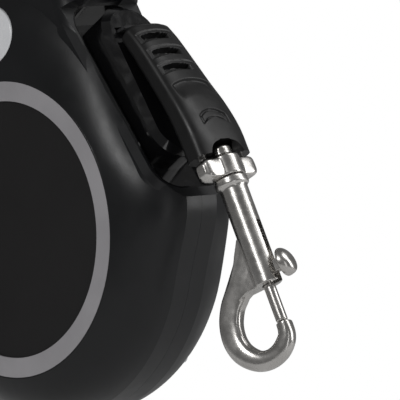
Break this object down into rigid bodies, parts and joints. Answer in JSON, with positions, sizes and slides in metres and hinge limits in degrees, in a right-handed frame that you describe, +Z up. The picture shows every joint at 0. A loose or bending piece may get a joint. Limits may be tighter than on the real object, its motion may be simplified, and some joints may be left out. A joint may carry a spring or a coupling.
{
  "type": "retractable leash",
  "caption": "Handheld retractable dog leash: round drum housing with a loop handle and thumb brake, tape wound on a sprung spool, soft grip, swivel and bolt snap hook at the nose.",
  "frame": {"origin": "middle of the handle grip bar, on the plane where the two shells meet", "axes": "+X forward to the nose, +Z up, Y through the thickness; the spool turns about Y"},
  "size_m": [0.1953, 0.0442, 0.1858],
  "materials": {
    "shell_black": "fine spark-eroded matt, slightly satin",
    "ring_grey": "matt grey",
    "disc_black": "matt",
    "badge_white": "gloss white, blank",
    "gloss_black": "polished gloss black",
    "soft_black": "soft satin",
    "control_black": "fine matt",
    "nickel": "polished nickel plate",
    "steel": "bright drawn steel",
    "spring_steel": "blued spring steel",
    "spool_white": "natural moulded acetal",
    "brass": "turned",
    "tape_black": "woven nylon tape"
  },
  "bodies": {
    "housing": {"left_shell": "shell_black", "right_shell": "shell_black", "left_trim_ring": "ring_grey", "right_trim_ring": "ring_grey", "left_side_disc": "disc_black", "right_side_disc": "disc_black", "left_badge": "badge_white", "right_badge": "badge_white", "palm_pad": "soft_black", "nose_bezel": "gloss_black", "tape_collar": "gloss_black", "guide_pins": "steel", "housing_screws": "steel", "axle": "steel", "spring_arbor": "steel", "mainspring": "spring_steel", "button_spring": "steel"},
    "spool": {"spool": "spool_white", "spool_bush": "brass", "spool_cover": "spool_white", "tape_coil": "tape_black"},
    "tape": {"tape_run": "tape_black"},
    "leash_end": {"grip_sleeve": "soft_black", "tape_loop": "tape_black", "swivel_loop": "nickel"},
    "hook": {"swivel_post": "nickel", "hook_body": "nickel", "bolt_spring": "steel"},
    "bolt": {"hook_bolt": "nickel"},
    "button": {"brake_button": "control_black", "brake_plunger": "spool_white"},
    "lock": {"lock_slider": "control_black"}
  },
  "joints": [
    {"name": "tape_pull", "type": "slide", "parent": "housing", "child": "tape", "axis": [0.9019, 0, 0.432], "range_m": [0, 0.04335], "stiffness_N_per_m": 20, "springref_m": -0.2},
    {"name": "spool_spin", "type": "hinge", "parent": "housing", "child": "spool", "pos_m": [0.04929, 0, -0.09441], "axis": [0, 1, 0], "range_deg": [0, 60]},
    {"name": "grip_swing", "type": "hinge", "parent": "tape", "child": "leash_end", "pos_m": [0.08289, 0, -0.03241], "axis": [0, -1, 0], "range_deg": [0, 60]},
    {"name": "swivel_spin", "type": "hinge", "parent": "leash_end", "child": "hook", "pos_m": [0.12404, 0, -0.07848], "axis": [0.4894, 0, -0.8721], "continuous": true},
    {"name": "bolt_slide", "type": "slide", "parent": "hook", "child": "bolt", "axis": [-0.4894, 0, 0.8721], "range_m": [0, 0.0095], "stiffness_N_per_m": 300, "springref_m": -0.008, "deforming": ["bolt_spring"]},
    {"name": "brake_press", "type": "slide", "parent": "housing", "child": "button", "axis": [0, 0, -1], "range_m": [0, 0.0035], "stiffness_N_per_m": 800, "springref_m": -0.003, "deforming": ["button_spring"]},
    {"name": "lock_slide", "type": "slide", "parent": "housing", "child": "lock", "axis": [1, 0, 0], "range_m": [0, 0.0035]}
  ],
  "couplings": [
    {"joint": "spool_spin", "follows": "tape_pull", "rad_per_m": 24.155}
  ]
}
